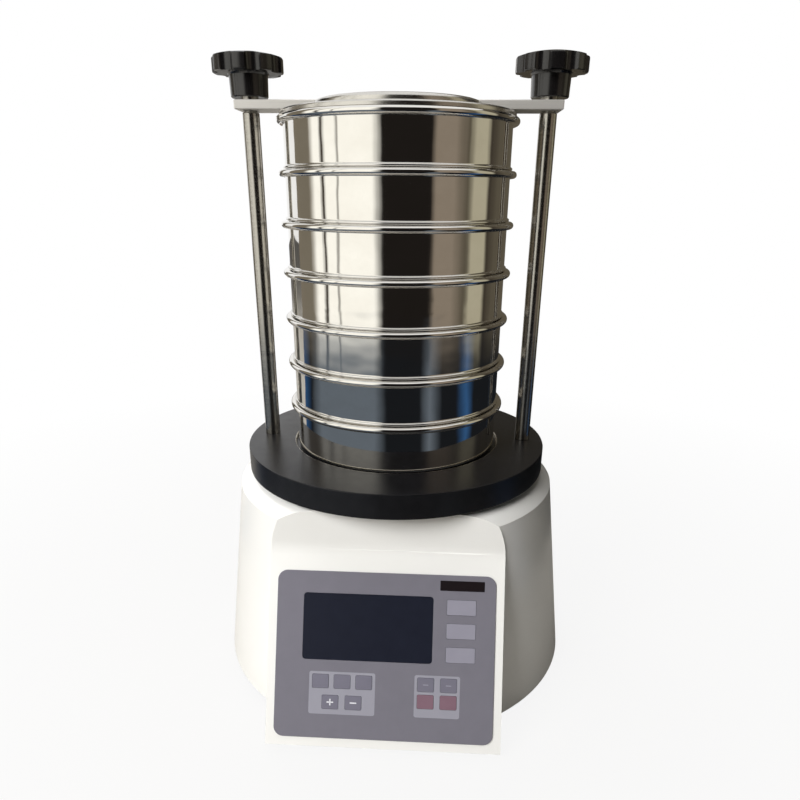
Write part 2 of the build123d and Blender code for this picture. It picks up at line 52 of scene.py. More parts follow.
sieveNumbers = range(1, 7)
print("frame loaded:", len(frame["nodes"]), "nodes")


# selection and shaping helpers

def dropSelection():
    if bpy.context.object and bpy.context.object.mode != "OBJECT":
        bpy.ops.object.mode_set(mode="OBJECT")
    bpy.ops.object.select_all(action="DESELECT")


def pickPiece(piece):
    dropSelection()
    piece.select_set(True)
    bpy.context.view_layer.objects.active = piece


def namePiece(piece, name):
    piece.name = name
    piece.data.name = name
    return piece


def applyPlace(piece):
    pickPiece(piece)
    bpy.ops.object.transform_apply(location=True, rotation=True, scale=True)
    return piece


def applyModifiers(piece):
    pickPiece(piece)
    for modifier in list(piece.modifiers):
        bpy.ops.object.modifier_apply(modifier=modifier.name)
    return piece


def drawChain(name, points):
    # a plane is pulled together into one corner, which is drawn out from point to point
    dropSelection()
    bpy.ops.mesh.primitive_plane_add(size=mm, location=points[0])
    piece = namePiece(bpy.context.object, name)
    bpy.ops.object.transform_apply(location=True)
    bpy.ops.object.mode_set(mode="EDIT")
    bpy.ops.mesh.select_mode(type="VERT")
    bpy.ops.mesh.select_all(action="SELECT")
    bpy.ops.mesh.merge(type="CENTER")
    here = points[0]
    for there in points[1:]:
        step = [b - a for a, b in zip(here, there)]
        bpy.ops.mesh.extrude_region_move(TRANSFORM_OT_translate={"value": step})
        here = there
    return piece


def closeShape(reach=seam):
    bpy.ops.mesh.select_all(action="SELECT")
    bpy.ops.mesh.remove_doubles(threshold=reach)
    bpy.ops.mesh.select_all(action="SELECT")
    bpy.ops.mesh.normals_make_consistent(inside=False)
    bpy.ops.object.mode_set(mode="OBJECT")


def turnPiece(name, profile, steps=144):
    # the profile is radius and height in millimetres, and closes on itself
    points = [(r * mm, 0, z * mm) for r, z in profile]
    piece = drawChain(name, points + points[:1])
    bpy.ops.mesh.select_all(action="SELECT")
    bpy.ops.mesh.spin(steps=steps, angle=2 * pi, center=(0, 0, 0), axis=(0, 0, 1))
    closeShape()
    return piece


def liftPrism(name, points, push):
    # a flat outline in millimetres, filled and pushed out into a block
    corners = [tuple(value * mm for value in point) for point in points]
    piece = drawChain(name, corners + corners[:1])
    bpy.ops.mesh.select_all(action="SELECT")
    bpy.ops.mesh.remove_doubles(threshold=seam)
    bpy.ops.mesh.select_all(action="SELECT")
    bpy.ops.mesh.edge_face_add()
    step = [value * mm for value in push]
    bpy.ops.mesh.extrude_region_move(TRANSFORM_OT_translate={"value": step})
    closeShape()
    return piece


def boxPiece(name, size, middle):
    dropSelection()
    bpy.ops.mesh.primitive_cube_add(size=1, location=[value * mm for value in middle])
    piece = namePiece(bpy.context.object, name)
    piece.scale = [value * mm for value in size]
    return applyPlace(piece)


def postPiece(name, radius, low, high, x=0.0, y=0.0, sides=96):
    dropSelection()
    place = (x * mm, y * mm, (low + high) / 2 * mm)
    depth = (high - low) * mm
    bpy.ops.mesh.primitive_cylinder_add(vertices=sides, radius=radius * mm, depth=depth, location=place)
    return applyPlace(namePiece(bpy.context.object, name))


def shapeWith(piece, tool, operation="DIFFERENCE"):
    modifier = piece.modifiers.new("shape", "BOOLEAN")
    modifier.operation = operation
    modifier.solver = "EXACT"
    modifier.object = tool
    applyModifiers(piece)
    bpy.data.meshes.remove(tool.data)
    return piece


def softenEdges(piece, width, segments=3, angle=35):
    modifier = piece.modifiers.new("edges", "BEVEL")
    modifier.width = width * mm
    modifier.segments = segments
    modifier.limit_method = "ANGLE"
    modifier.angle_limit = radians(angle)
    modifier.use_clamp_overlap = True
    return applyModifiers(piece)


def copyPiece(piece, name, shift):
    twin = piece.copy()
    twin.data = piece.data.copy()
    bpy.context.scene.collection.objects.link(twin)
    namePiece(twin, name)
    twin.location = [value * mm for value in shift]
    return applyPlace(twin)


def arcPoints(across, up, radius, start, end, count):
    # points on an arc in the profile's plane, angles in degrees
    return [
        (
            across + radius * cos(radians(start + (end - start) * i / count)),
            up + radius * sin(radians(start + (end - start) * i / count)),
        )
        for i in range(count + 1)
    ]


def roundedOutline(width, length, corner, steps=6):
    outline = []
    for sideX, sideY, start in ((1, 1, 0), (-1, 1, 90), (-1, -1, 180), (1, -1, 270)):
        middle = (sideX * (width / 2 - corner), sideY * (length / 2 - corner))
        outline += arcPoints(*middle, corner, start, start + 90, steps)
    return outline


def finishPiece(piece, body, paint, nodes=(), angle=32):
    pickPiece(piece)
    bpy.ops.object.shade_smooth_by_angle(angle=radians(angle))
    # broad faces shade flat beside their small edges
    modifier = piece.modifiers.new("evenShade", "WEIGHTED_NORMAL")
    modifier.keep_sharp = True
    modifier.weight = 80
    applyModifiers(piece)
    piece.data.materials.clear()
    piece.data.materials.append(paint)
    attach(piece, body)
    if nodes:
        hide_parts(*nodes)
    return piece


# materials

def toLinear(code):
    parts = [int(code[i:i + 2], 16) / 255 for i in (1, 3, 5)]
    return [p / 12.92 if p <= 0.04045 else ((p + 0.055) / 1.055) ** 2.4 for p in parts] + [1]


def addNode(tree, kind, settings=None, links=None):
    # one node with its settings, and its inputs linked from other nodes' outputs
    node = tree.nodes.new(kind)
    for key, value in (settings or {}).items():
        if isinstance(key, str) and hasattr(node, key):
            setattr(node, key, value)
        else:
            node.inputs[key].default_value = value
    for key, source in (links or {}).items():
        tree.links.new(source, node.inputs[key])
    return node


def startPaint(name, colour, roughness, metallic=0.0, **more):
    paint = bpy.data.materials.new(name)
    paint.use_nodes = True
    tree = paint.node_tree
    surface = tree.nodes["Principled BSDF"]
    surface.inputs["Base Color"].default_value = toLinear(colour)
    surface.inputs["Roughness"].default_value = roughness
    surface.inputs["Metallic"].default_value = metallic
    for key, value in more.items():
        surface.inputs[key.replace("_", " ")].default_value = value
    place = addNode(tree, "ShaderNodeTexCoord").outputs["Object"]
    return paint, tree, surface, place


def dressPaint(tree, surface, shades, leads, rough, depth):
    # leads are what the colour, the gloss and the relief follow, and the relief's depth is in millimetres
    cloud, gloss, relief = leads
    ends = {"data_type": "RGBA", 6: toLinear(shades[0]), 7: toLinear(shades[1])}
    tint = addNode(tree, "ShaderNodeMix", ends, {0: cloud}).outputs[2]
    tree.links.new(tint, surface.inputs["Base Color"])
    if gloss is not None:
        limits = {"To Min": rough[0], "To Max": rough[1]}
        spread = addNode(tree, "ShaderNodeMapRange", limits, {"Value": gloss})
        tree.links.new(spread.outputs["Result"], surface.inputs["Roughness"])
    bump = addNode(tree, "ShaderNodeBump", {"Strength": 1.0, "Distance": depth * mm}, {"Height": relief})
    tree.links.new(bump.outputs["Normal"], surface.inputs["Normal"])
    return tint


def grainPaint(name, colour, shade, look, **more):
    # colour, gloss and relief each follow a noise: its grain in millimetres along x, y and z, then its detail
    paint, tree, surface, place = startPaint(name, colour, look["rough"][0], look["metallic"], **more)
    leads = []
    for *grain, detail in (look["cloud"], look["gloss"], look["relief"]):
        scale = [1 / (value * mm) for value in grain]
        vector = addNode(tree, "ShaderNodeMapping", {"Scale": scale}, {"Vector": place}).outputs["Vector"]
        settings = {"Scale": 1.0, "Detail": detail, "Roughness": noiseRoughness}
        leads.append(addNode(tree, "ShaderNodeTexNoise", settings, {"Vector": vector}).outputs["Fac"])
    if look.get("smudged"):
        both = {0: leads[1], 1: leads[0]}
        leads[1] = addNode(tree, "ShaderNodeMath", {"operation": "MULTIPLY"}, both).outputs[0]
    dressPaint(tree, surface, (shade, colour), leads, look["rough"], look["depth"])
    return paint


noiseRoughness = 0.55
bandRate = 20 / (2 * pi)  # bands that a wave texture draws in a metre at scale 1
sprayed = {
    "cloud": (90, 90, 60, 3), "gloss": (14, 14, 14, 3), "relief": (3.2, 3.2, 3.2, 2),
    "rough": (0.26, 0.36), "depth": 0.02, "metallic": 0.0,
}
ringed = {
    "cloud": (30, 30, 1.2, 2), "gloss": (30, 30, 1.2, 2), "relief": (30, 30, 1.2, 2),
    "rough": (0.14, 0.3), "depth": 0.01, "metallic": 1.0,
}
brushed = {
    "cloud": (60, 1, 1, 2), "gloss": (60, 1, 1, 2), "relief": (60, 1, 1, 2),
    "rough": (0.36, 0.5), "depth": 0.008, "metallic": 0.6,
}
turned = {
    "rough": (0.26, 0.4), "dust": 9, "dustDetail": 6, "ring": 1.5, "depth": 0.004,
    # the seat's pale ring: worn bare metal, and a painted highlight on the chamfer
    "seatEdge": 104.4, "seatWearAndGlint": 0.6, "bareAndGlint": "#d8d4ca",
}


def buffed(rough, line, depth):
    # metal worked while it turned: lines run round it and smear the gloss, with hand smudges between them
    return {
        "cloud": (26, 26, 18, 4), "gloss": (60, 60, line, 4), "relief": (34, 34, 22, 1),
        "rough": rough, "depth": depth, "metallic": 1.0, "smudged": True,
    }


def moulded(rough, grain, depth):
    # a moulded or printed skin: an even colour with a fine grain that breaks the gloss
    return {
        "cloud": (12, 12, 12, 3), "gloss": (12, 12, 12, 3), "relief": (grain, grain, grain, 2),
        "rough": rough, "depth": depth, "metallic": 0.0,
    }


def paintTurned(name, colour, shade):
    paint, tree, surface, place = startPaint(name, colour, turned["rough"][0], Specular_IOR_Level=0.4)
    apart = addNode(tree, "ShaderNodeSeparateXYZ", links={"Vector": place})
    flat = addNode(tree, "ShaderNodeCombineXYZ", links={"X": apart.outputs[0], "Y": apart.outputs[1]})
    out = addNode(tree, "ShaderNodeVectorMath", {"operation": "LENGTH"}, {0: flat.outputs[0]}).outputs["Value"]
    rate = {"operation": "MULTIPLY", 1: 2 * pi / (turned["ring"] * mm)}
    turns = addNode(tree, "ShaderNodeMath", rate, {0: out}).outputs[0]
    wave = addNode(tree, "ShaderNodeMath", {"operation": "SINE"}, {0: turns}).outputs[0]
    scale = [1 / (turned["dust"] * mm)] * 3
    vector = addNode(tree, "ShaderNodeMapping", {"Scale": scale}, {"Vector": place}).outputs["Vector"]
    settings = {"Scale": 1.0, "Detail": turned["dustDetail"], "Roughness": noiseRoughness}
    dust = addNode(tree, "ShaderNodeTexNoise", settings, {"Vector": vector}).outputs["Fac"]
    tint = dressPaint(tree, surface, (colour, shade), (dust, dust, wave), turned["rough"], turned["depth"])
    # the edge of the turned seat, where the coat has rubbed through to bright metal; the pale metallic ring is also a
    # painted highlight along the chamfer
    edge = {"operation": "COMPARE", 1: turned["seatEdge"] * mm, 2: turned["seatWearAndGlint"] * mm}
    bareAndGlint = addNode(tree, "ShaderNodeMath", edge, {0: out}).outputs[0]
    wornAndGlint = {"data_type": "RGBA", 7: toLinear(turned["bareAndGlint"])}
    both = addNode(tree, "ShaderNodeMix", wornAndGlint, {0: bareAndGlint, 6: tint})
    tree.links.new(both.outputs[2], surface.inputs["Base Color"])
    tree.links.new(bareAndGlint, surface.inputs["Metallic"])
    return paint


def paintBands(name, colour, shade, metallic, rough, axis, pitch):
    # even lines one pitch apart along one axis
    paint, tree, surface, place = startPaint(name, colour, rough, metallic)
    bands = {"wave_type": "BANDS", "bands_direction": axis, "Scale": 1 / (bandRate * pitch * mm), "Distortion": 0.4}
    wave = addNode(tree, "ShaderNodeTexWave", bands, {"Vector": place}).outputs["Fac"]
    dressPaint(tree, surface, (shade, colour), (wave, None, wave), None, 0.15)
    return paint


def paintCloth(name, colour, shade):
    # wires over and under each other, drawn 1.2 mm apart so that they show
    paint, tree, surface, place = startPaint(name, colour, 0.35, 1.0)
    wires = []
    for axis in ("X", "Y"):
        bands = {"bands_direction": axis, "Scale": 1 / (bandRate * 1.2 * mm)}
        wires.append(addNode(tree, "ShaderNodeTexWave", bands, {"Vector": place}).outputs["Fac"])
    weave = addNode(tree, "ShaderNodeMath", {"operation": "MAXIMUM"}, {0: wires[0], 1: wires[1]}).outputs[0]
    dressPaint(tree, surface, (shade, colour), (weave, None, weave), None, 0.3)
    return paint


paints = {
    # stove enamel on sheet steel, sprayed and baked: a clean soft gloss with orange peel about 3 mm across
    "white_enamel": grainPaint(
        "stoveEnamelWhite", "#efeeeb", "#e9e8e3", sprayed, Coat_Weight=0.25, Coat_Roughness=0.12
    ),
    # polished stainless sheet: near a mirror, and wavy enough to bend the edges of what it reflects
    "stainless_sheet": grainPaint("polishedStainlessSheet", "#efede9", "#dfdcd6", buffed((0.03, 0.1), 1.5, 0.2)),
    # spun stainless steel: the spinning tool's lines turn the mirror to a soft satin
    "spun_steel": grainPaint("spunStainlessLid", "#dedbd6", "#c8c5bf", buffed((0.2, 0.34), 1.5, 0.1)),
    # ground stainless bar: rings about 0.5 mm apart, drawn at 1.2 mm, break the long highlight down each rod
    "polished_steel": grainPaint("groundStainlessBar", "#c6c3bc", "#a9a59e", ringed),
    # flat bar ground along its length: a pale silk with a grain about 0.4 mm, drawn at 1 mm
    "satin_bar": grainPaint("satinStainlessBar", "#e6e3de", "#d6d3cd", brushed),
    # aluminium turned, then coated black: a deep satin disc with a film of dust, and a pale ring at the seat that is
    # worn bare metal and also a painted highlight
    "black_coat": paintTurned("coatedAluminiumBlack", "#0c0c0e", "#17171a"),
    # moulded phenolic: black under a hard shine, as on a grip that hands keep polished
    "black_gloss": grainPaint(
        "mouldedPhenolicBlack", "#0e0d0d", "#141213", moulded((0.2, 0.3), 1.5, 0.01), Coat_Weight=0.5
    ),
    # screen printed polyester film: an even matt grey that holds no clear reflection
    "panel_film": grainPaint(
        "printedPolyesterGrey", "#76747d", "#6f6d76", moulded((0.48, 0.56), 0.6, 0.01), Specular_IOR_Level=0.35
    ),
    # paler ink on the film: a soft field that gathers each group of keys
    "panel_patch": grainPaint("printedPolyesterPale", "#96959f", "#908f99", moulded((0.48, 0.56), 0.6, 0.01)),
    # black ink on the film: a small dense strip, the darkest and dullest thing on the panel
    "panel_black": grainPaint(
        "printedPolyesterBlack", "#120c0f", "#171013", moulded((0.5, 0.6), 0.6, 0.01), Specular_IOR_Level=0.25
    ),
    # pale grey ink: marks that barely stand off their keys
    "panel_faint": grainPaint("printedMarkFaint", "#9a98a3", "#93919c", moulded((0.42, 0.5), 0.6, 0.005)),
    # white ink: the crispest marks on the panel
    "panel_mark": grainPaint("printedMarkWhite", "#e4e4e8", "#dcdce0", moulded((0.42, 0.5), 0.6, 0.005)),
    # embossed film, pale: wide keys that read lighter than the panel round them
    "wide_key": grainPaint("filmKeyPale", "#918f9b", "#8a8894", moulded((0.45, 0.55), 0.6, 0.01)),
    # embossed film, dark: small keys sunk into their paler field
    "small_key": grainPaint("filmKeyDark", "#74727f", "#6d6b78", moulded((0.4, 0.5), 0.6, 0.01)),
    # embossed film, dull red: the two keys that the eye finds first
    "red_key": grainPaint("filmKeyRed", "#7f6470", "#785d69", moulded((0.4, 0.5), 0.6, 0.01)),
    # smoked display window: a dark blue depth with a low even sheen
    "display_glass": grainPaint(
        "displayWindowSmoke", "#1d202c", "#191b26", moulded((0.34, 0.4), 3, 0.002), Specular_IOR_Level=0.22
    ),
    # moulded rubber: a dull black that swallows highlights
    "rubber": grainPaint("mouldedRubberBlack", "#1c1c1c", "#222120", moulded((0.7, 0.85), 1.2, 0.05)),
    # moulded nylon: black with the fine grain of an eroded mould
    "black_plastic": grainPaint("mouldedNylonBlack", "#161617", "#1c1c1d", moulded((0.45, 0.6), 0.8, 0.03)),
    # glass fibre board under solder mask: a cloudy green with a low sheen
    "circuit_board": grainPaint("fibreglassBoardGreen", "#1d5a33", "#174a29", moulded((0.35, 0.5), 2, 0.03)),
    # painted iron from a sand mould: a rough dark grey
    "cast_iron": grainPaint("castIronPainted", "#4a4c50", "#3d3f43", moulded((0.6, 0.8), 2.5, 0.2)),
    # zinc plated steel: a cool grey with patches of gloss
    "zinc_sheet": grainPaint("zincPlatedSteel", "#c4c6c6", "#a9abac", buffed((0.28, 0.45), 3.0, 0.03)),
    # stacked core steel: the edges of thin sheets as close even lines
    "lamination": paintBands("stackedCoreSteel", "#9a9aa0", "#6d6d72", 1.0, 0.45, "Y", 1.0),
    # varnished copper wire: warm brown turns laid side by side
    "coil_wire": paintBands("varnishedCopperWire", "#b0602d", "#5e2d15", 0.8, 0.3, "Z", 1.6),
    # drawn spring wire: a dark grey metal with the die's soft sheen
    "spring_steel": grainPaint("drawnSpringWire", "#8f9093", "#6f7073", buffed((0.3, 0.45), 2.0, 0.02)),
    # woven stainless wire cloth: bright wires with dark gaps, in plain weave
    "wire_cloth": paintCloth("wovenWireCloth", "#c6c4be", "#5b5a57"),
}
nodeSlots = {part["node"]: part["material_slot"] for part in frame["record"]["subparts"]}
for name, cadNode in frame["nodes"].items():
    cadNode.data.materials.clear()
    cadNode.data.materials.append(paints[nodeSlots[name]])
print("materials ready:", len(paints))


# camera, floor and light

view = {
    "lens": 30.12, "shift": 0.0924, "place": (39.2, -664.5, 475.4),
    "right": (0.99843, 0.05562, 0.00715), "up": (-0.02812, 0.38638, 0.92191),
}


def addCamera():
    data = bpy.data.cameras.new("camera")
    data.lens = view["lens"]
    data.sensor_width = 36
    data.shift_y = view["shift"]
    data.clip_start = 0.01
    data.clip_end = 50
    camera = bpy.data.objects.new("camera", data)
    bpy.context.scene.collection.objects.link(camera)
    right = Vector(view["right"]).normalized()
    back = right.cross(Vector(view["up"])).normalized()
    up = back.cross(right)
    camera.matrix_world = Matrix.Translation([value * mm for value in view["place"]]) @ Matrix((
        (right.x, up.x, back.x, 0),
        (right.y, up.y, back.y, 0),
        (right.z, up.z, back.z, 0),
        (0, 0, 0, 1),
    ))
    bpy.context.scene.camera = camera


# the floor is whitened for the camera, fully from "fadeTo" metres out and by "nearShare" within "fadeFrom"
ground = {
    "size": 12, "drop": 0.2, "shade": "#a6a29b", "rough": 0.9, "fadeFrom": 0.25, "fadeTo": 1.1, "nearShare": 0.9,
}


def addFloor():
    dropSelection()
    bpy.ops.mesh.primitive_plane_add(size=ground["size"], location=(0, 0, -ground["drop"] * mm))
    floor = applyPlace(namePiece(bpy.context.object, "floor"))
    paint = bpy.data.materials.new("paleFloor")
    paint.use_nodes = True
    tree = paint.node_tree
    surface = tree.nodes["Principled BSDF"]
    surface.inputs["Base Color"].default_value = toLinear(ground["shade"])
    surface.inputs["Roughness"].default_value = ground["rough"]
    # matt paper: the camera sees it lifted to white, with part of the object's shadow left in it
    glow = addNode(tree, "ShaderNodeEmission", {"Color": toLinear("#ffffff"), "Strength": 1.0})
    path = addNode(tree, "ShaderNodeLightPath")
    place = addNode(tree, "ShaderNodeTexCoord").outputs["Object"]
    out = addNode(tree, "ShaderNodeVectorMath", {"operation": "LENGTH"}, {0: place}).outputs["Value"]
    reach = {
        "From Min": ground["fadeFrom"], "From Max": ground["fadeTo"], "To Min": ground["nearShare"], "To Max": 1.0,
    }
    fade = addNode(tree, "ShaderNodeMapRange", reach, {"Value": out}).outputs["Result"]
    both = {0: path.outputs["Is Camera Ray"], 1: fade}
    share = addNode(tree, "ShaderNodeMath", {"operation": "MULTIPLY"}, both)
    mix = addNode(tree, "ShaderNodeMixShader", links={0: share.outputs[0]})
    tree.links.new(surface.outputs[0], mix.inputs[1])
    tree.links.new(glow.outputs[0], mix.inputs[2])
    tree.links.new(mix.outputs[0], tree.nodes["Material Output"].inputs["Surface"])
    floor.data.materials.append(paint)


# places and sizes in metres, power in watts
lampAim = (0, 0, 0.28)
lamps = {
    "keyLamp": {"place": (-1.45, -1.8, 1.7), "size": 1.5, "power": 88},
    "topLamp": {"place": (-0.3, 0.3, 2.8), "size": 1.8, "power": 32},
    "fillLamp": {"place": (1.9, -1.2, 1.1), "size": 1.4, "power": 1.2},
    "backLamp": {"place": (-1.3, 1.8, 1.4), "size": 1.4, "power": 30},
}


def addLamps():
    for name, lamp in lamps.items():
        data = bpy.data.lights.new(name, "AREA")
        data.shape = "DISK"
        data.size = lamp["size"]
        data.energy = lamp["power"]
        item = bpy.data.objects.new(name, data)
        bpy.context.scene.collection.objects.link(item)
        item.location = lamp["place"]
        item.rotation_euler = (Vector(lampAim) - Vector(lamp["place"])).to_track_quat("-Z", "Y").to_euler()
        item.visible_glossy = False


# a dim room round the machine, for metal and gloss alone to reflect, as a photographer's flats do
# azimuth in degrees from straight in front of the machine, positive to its right
room = {
    "window": "#fffdf5", "post": "#38322b", "doorway": "#1c1917", "plaster": "#736c5f", "cupboard": "#84796c",
    "curtain": "#544e42", "lit": "#a6a08b", "mat": "#5d656e", "sky": "#2f527c", "shade": "#17191c",
    "wall": {
        -168: "cupboard", -110: "plaster", -93: "plaster", -85: "window", -77: "window", -75: "post", -73: "post",
        -71: "window", -59: "window", -57: "post", -55: "window", -20: "window", -11: "doorway", 35: "doorway",
        41: "cupboard", 60: "cupboard", 75: "curtain", 83: "lit", 100: "lit", 106: "post", 120: "curtain",
    },
    "floor": {
        -168: "mat", -140: "mat", -120: "sky", -102: "shade", -85: "mat", -20: "mat", -8: "shade", 28: "shade",
        38: "mat", 52: "shade", 70: "shade", 84: "sky", 94: "shade", 120: "shade",
    },
    "near": 430, "middle": 1200, "far": 2600, "eye": 900, "top": 3200, "blur": 2.0, "first": -168, "last": 141,
    "haze": (420, 420, 900), "hazeDetail": 2, "glow": 1.2, "floorEnd": 1.4, "wallStart": 2.35, "steps": 72,
}


def paintRoom():
    # painted card: flat areas of one shade with soft edges, so that metal shows clean upright bands
    paint = bpy.data.materials.new("paintedFlat")
    paint.use_nodes = True
    tree = paint.node_tree
    tree.nodes.remove(tree.nodes["Principled BSDF"])
    place = addNode(tree, "ShaderNodeTexCoord").outputs["Object"]
    apart = addNode(tree, "ShaderNodeSeparateXYZ", links={"Vector": place})
    front = addNode(tree, "ShaderNodeMath", {"operation": "MULTIPLY", 1: -1.0}, {0: apart.outputs[1]})
    turn = addNode(tree, "ShaderNodeMath", {"operation": "ARCTAN2"}, {0: apart.outputs[0], 1: front.outputs[0]})
    scale = [1 / (value * mm) for value in room["haze"]]
    vector = addNode(tree, "ShaderNodeMapping", {"Scale": scale}, {"Vector": place}).outputs["Vector"]
    settings = {"Scale": 1.0, "Detail": room["hazeDetail"], "Roughness": noiseRoughness}
    haze = addNode(tree, "ShaderNodeTexNoise", settings, {"Vector": vector}).outputs["Fac"]
    blur = room["blur"] * pi / 90
    shift = addNode(tree, "ShaderNodeMapRange", {"To Min": -blur, "To Max": blur}, {"Value": haze})
    moved = addNode(tree, "ShaderNodeMath", {"operation": "ADD"}, {0: turn.outputs[0], 1: shift.outputs["Result"]})
    azimuth = addNode(tree, "ShaderNodeMapRange", {"From Min": -pi, "From Max": pi}, {"Value": moved.outputs[0]})
    shades = {}
    for part in ("wall", "floor"):
        ramp = addNode(tree, "ShaderNodeValToRGB", links={"Fac": azimuth.outputs[0]})
        marks = ramp.color_ramp.elements
        while len(marks) < len(room[part]):
            marks.new(0.5)
        for mark, (angle, shade) in zip(marks, room[part].items()):
            mark.position = angle / 360 + 0.5
            mark.color = toLinear(room[shade])
        shades[part] = ramp.outputs["Color"]
    flat = addNode(tree, "ShaderNodeCombineXYZ", links={"X": apart.outputs[0], "Y": apart.outputs[1]})
    out = addNode(tree, "ShaderNodeVectorMath", {"operation": "LENGTH"}, {0: flat.outputs[0]}).outputs["Value"]
    reach = {"From Min": room["floorEnd"], "From Max": room["wallStart"]}
    share = addNode(tree, "ShaderNodeMapRange", reach, {"Value": out}).outputs["Result"]
    mix = addNode(tree, "ShaderNodeMix", {"data_type": "RGBA"}, {0: share, 6: shades["floor"], 7: shades["wall"]})
    glow = addNode(tree, "ShaderNodeEmission", {"Strength": room["glow"]}, {"Color": mix.outputs[2]})
    tree.links.new(glow.outputs[0], tree.nodes["Material Output"].inputs["Surface"])
    return paint


def addRoom():
    paint = paintRoom()
    first, last = radians(room["first"]), radians(room["last"])
    begin = [value * mm for value in (sin(first), -cos(first))]
    edges = {
        "roomFloor": [(begin[0] * r, begin[1] * r, mm) for r in (room["near"], room["middle"], room["far"])],
        "roomWall": [(begin[0] * room["far"], begin[1] * room["far"], z * mm) for z in (1, room["eye"], room["top"])],
    }
    for name, edge in edges.items():
        flat = drawChain(name, edge)
        bpy.ops.mesh.select_all(action="SELECT")
        bpy.ops.mesh.spin(steps=room["steps"], angle=last - first, center=(0, 0, 0), axis=(0, 0, 1))
        bpy.ops.object.mode_set(mode="OBJECT")
        flat.data.materials.append(paint)
        flat.visible_camera = False
        flat.visible_diffuse = False
        flat.visible_shadow = False
        flat.visible_transmission = False
        flat.visible_volume_scatter = False


# what the surroundings add to the lamps
softLight = {"shade": "#fffcf5", "strength": 0.045}


def addWorld():
    world = bpy.data.worlds.new("studio")
    bpy.context.scene.world = world
    world.use_nodes = True
    tree = world.node_tree
    path = addNode(tree, "ShaderNodeLightPath")
    seen = path.outputs["Is Camera Ray"]
    for ray in ("Is Glossy Ray", "Is Transmission Ray"):
        either = {0: seen, 1: path.outputs[ray]}
        seen = addNode(tree, "ShaderNodeMath", {"operation": "MAXIMUM"}, either).outputs[0]
    soft = tree.nodes["Background"]
    soft.inputs["Color"].default_value = toLinear(softLight["shade"])
    soft.inputs["Strength"].default_value = softLight["strength"]
    white = addNode(tree, "ShaderNodeBackground", {"Color": toLinear("#ffffff"), "Strength": 1.0})
    mix = addNode(tree, "ShaderNodeMixShader", links={0: seen})
    tree.links.new(soft.outputs[0], mix.inputs[1])
    tree.links.new(white.outputs[0], mix.inputs[2])
    tree.links.new(mix.outputs[0], tree.nodes["World Output"].inputs["Surface"])


bpy.context.scene.view_settings.view_transform = "Standard"
addCamera()
addFloor()
addLamps()
addRoom()
addWorld()
print("studio ready")


# sieve stack

sieve = {"bore": 100, "sheet": 1.0, "pitch": 42, "bead": 3.0, "reach": 5.85, "skirtRadius": 99.7, "skirt": 8.0}
stack = {"panRim": 280.5, "panBottom": 237.0, "panCorner": 5.0, "seatGap": 0.3}


def beadProfile(rim):
    # rolled rim: from the inner edge over the top and round to the outside of the wall
    outer = sieve["bore"] + sieve["sheet"]
    middle = outer + sieve["reach"] - sieve["bead"]
    reach = sieve["bead"]
    return [(sieve["bore"], rim + reach - 1.0), (sieve["bore"] + 0.6, rim + reach - 0.2)] + arcPoints(
        middle, rim, reach, 100, -128, 16
    ) + [(outer + 0.25, rim - reach + 0.15), (outer, rim - reach - 0.6)]


def sieveProfile(rim):
    seat = rim - sieve["pitch"] + sieve["bead"] + stack["seatGap"]
    bore, outer = sieve["bore"], sieve["bore"] + sieve["sheet"]
    skirtIn = sieve["skirtRadius"] - sieve["sheet"]
    shoulder = [(outer, seat + 3.6), (outer + 0.25, seat + 2.9)]
    shoulder += arcPoints(outer + 0.3, seat + 1.4, 1.3, 80, -80, 8)
    base = [(outer - 0.2, seat), (sieve["skirtRadius"], seat)]
    skirt = [
        (sieve["skirtRadius"], seat - sieve["skirt"] + 1.2),
        (sieve["skirtRadius"] - 0.4, seat - sieve["skirt"]),
        (skirtIn, seat - sieve["skirt"]),
        (skirtIn, seat + 0.7),
        (skirtIn + 0.3, seat + sieve["sheet"]),
        (bore - 0.02, seat + sieve["sheet"]),
        (bore, seat + sieve["sheet"] + 0.3),
    ]
    return beadProfile(rim) + shoulder + base + skirt


def panProfile():
    rim, low = stack["panRim"], stack["panBottom"]
    outer, corner = sieve["bore"] + sieve["sheet"], stack["panCorner"]
    inner = corner - sieve["sheet"]
    profile = beadProfile(rim)
    profile += arcPoints(outer - corner, low + corner, corner, 0, -90, 8)
    profile += [(0, low), (0, low + sieve["sheet"])]
    profile += arcPoints(sieve["bore"] - inner, low + sieve["sheet"] + inner, inner, -90, 0, 8)
    return profile


topRim = stack["panRim"] + 6 * sieve["pitch"]
firstSieve = turnPiece("sieveFrame1", sieveProfile(topRim))
finishPiece(firstSieve, "sieve_1", paints["stainless_sheet"], ["sieve_frame_1"])
for number in sieveNumbers[1:]:
    twin = copyPiece(firstSieve, f"sieveFrame{number}", (0, 0, -sieve["pitch"] * (number - 1)))
    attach(twin, f"sieve_{number}")
    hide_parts(f"sieve_frame_{number}")
panPiece = turnPiece("receiverPan", panProfile())
finishPiece(panPiece, "pan", paints["stainless_sheet"], ["receiver_pan"])
print("sieves ready")


# lid

lid = {
    "seat": 535.8, "rim": 103.5, "rimHeight": 3.6, "ledge": 541.2, "ledgeRadius": 77, "crown": 74,
    "crownHeight": 7.0, "crownRound": 4.0, "channel": 35.0,
}


